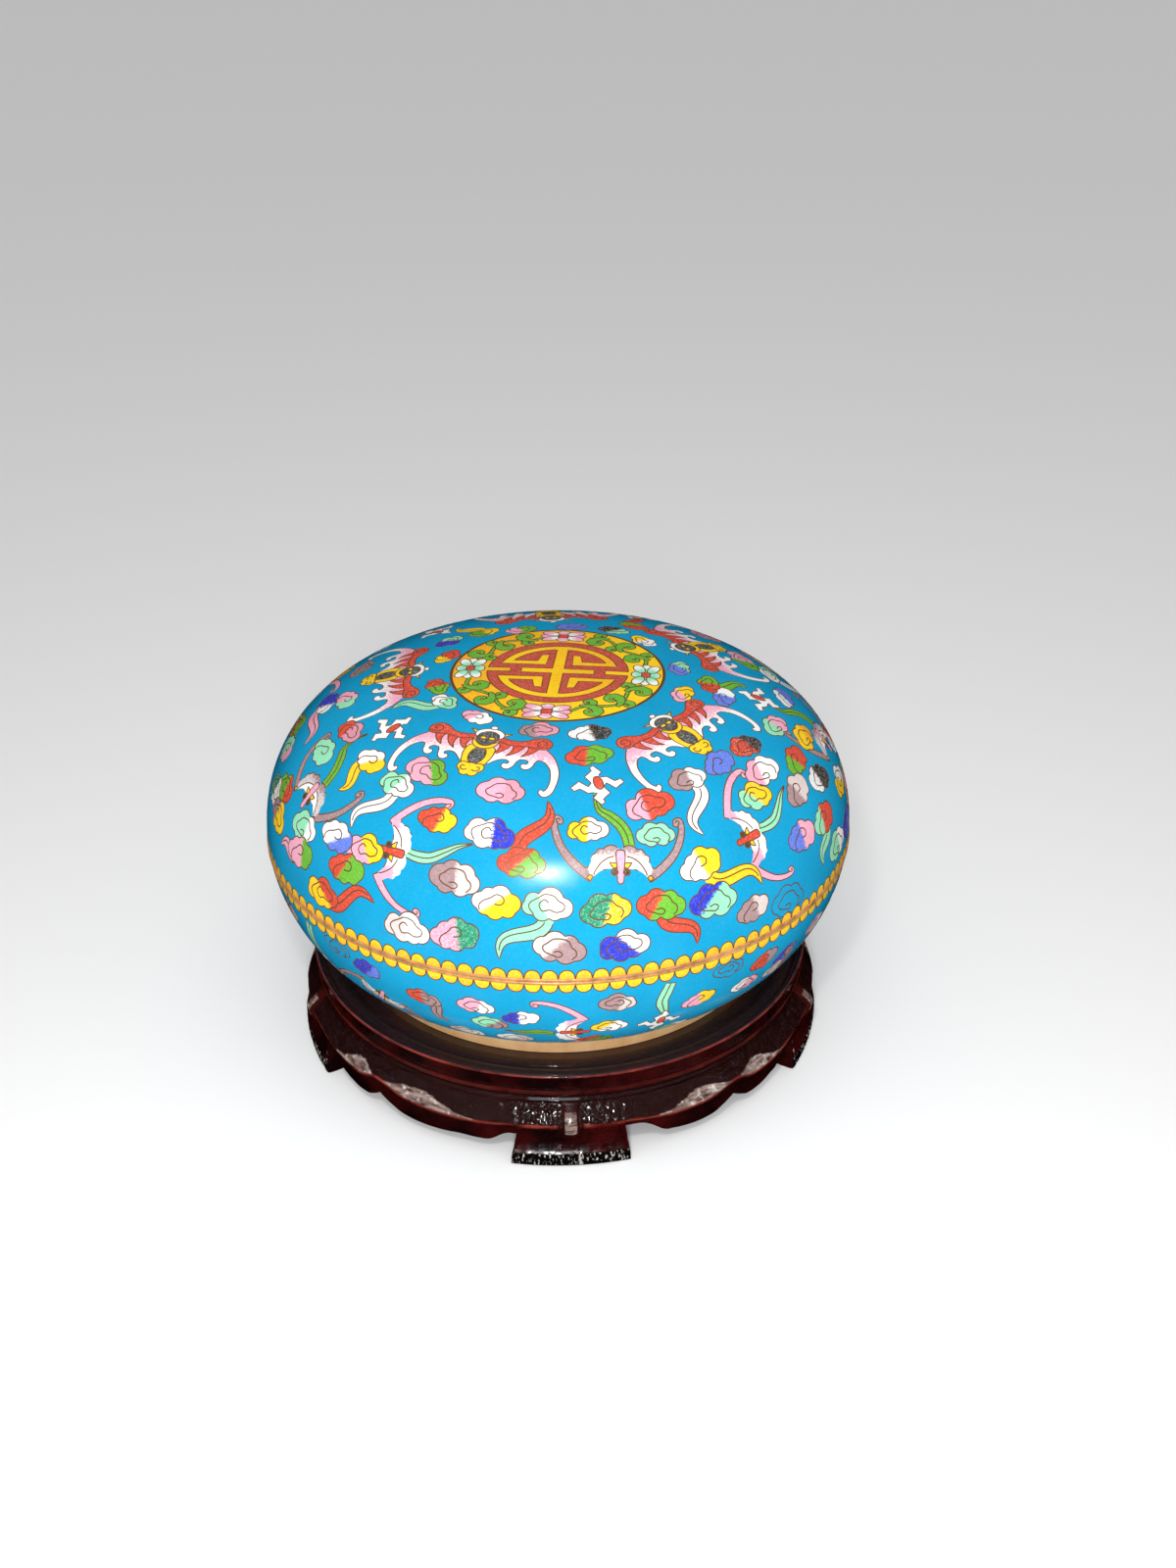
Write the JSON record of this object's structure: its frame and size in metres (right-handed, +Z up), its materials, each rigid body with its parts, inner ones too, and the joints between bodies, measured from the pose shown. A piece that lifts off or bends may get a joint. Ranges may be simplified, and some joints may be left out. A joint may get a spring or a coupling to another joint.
{
  "type": "enamelled round box on stand",
  "caption": "Low round cloisonne enamel box with a domed lift-off lid, standing on a carved wooden stand with scroll feet; holds small things or is shown on a shelf.",
  "frame": {"origin": "on the turning axis, at the ground under the stand's feet", "axes": "+Z up along the turning axis; -Y is the front, towards the foot in the middle of the view"},
  "size_m": [0.3008, 0.3008, 0.1984],
  "materials": {
    "enamel": "glossy fired enamel, turquoise with many colours",
    "gilt": "worn gilding on copper",
    "brass": "pale satin",
    "lacquered_wood": "very glossy dark red-black lacquer"
  },
  "bodies": {
    "root": {"lid": "enamel", "lid_rim": "gilt", "bowl": "enamel", "bowl_rim": "gilt", "foot_ring": "brass", "stand_top": "lacquered_wood", "stand_apron": "lacquered_wood"}
  },
  "joints": []
}
